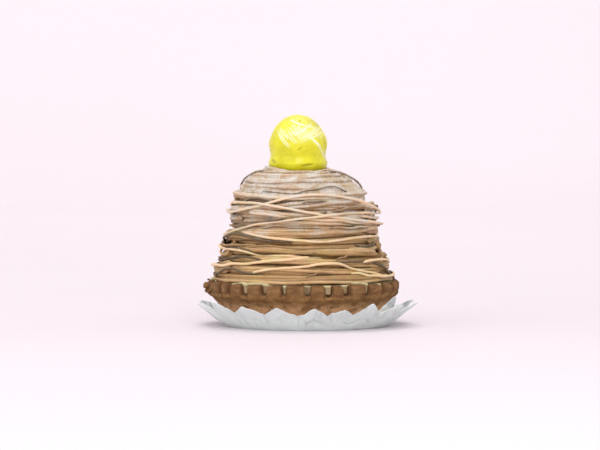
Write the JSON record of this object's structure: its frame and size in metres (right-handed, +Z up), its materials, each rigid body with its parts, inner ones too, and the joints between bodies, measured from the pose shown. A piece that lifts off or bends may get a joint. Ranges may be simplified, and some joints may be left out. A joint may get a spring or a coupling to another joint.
{
  "type": "mont blanc cake",
  "caption": "Small tart topped with a tall mound of wound chestnut-cream strands and one candied chestnut, standing in a petal-edged foil case.",
  "frame": {"origin": "centre of the foil case's flat underside, on the surface that it stands on", "axes": "+Z up; -Y towards the front, the side that the picture shows; +X to the right as seen from the front"},
  "size_m": [0.0901, 0.0886, 0.0842],
  "materials": {
    "foil": "thin satin foil, lightly creased",
    "tart_crust": "matte dark-baked pastry",
    "pale_filling": "matte pale sponge and cream",
    "chestnut_cream": "soft matte chestnut cream, dusted with fine sugar towards the top",
    "candied_chestnut": "glossy syrup coat"
  },
  "bodies": {
    "root": {"foil_case": "foil", "tart_shell": "tart_crust", "filling": "pale_filling", "chestnut_cream": "chestnut_cream", "candied_chestnut": "candied_chestnut"}
  },
  "joints": []
}
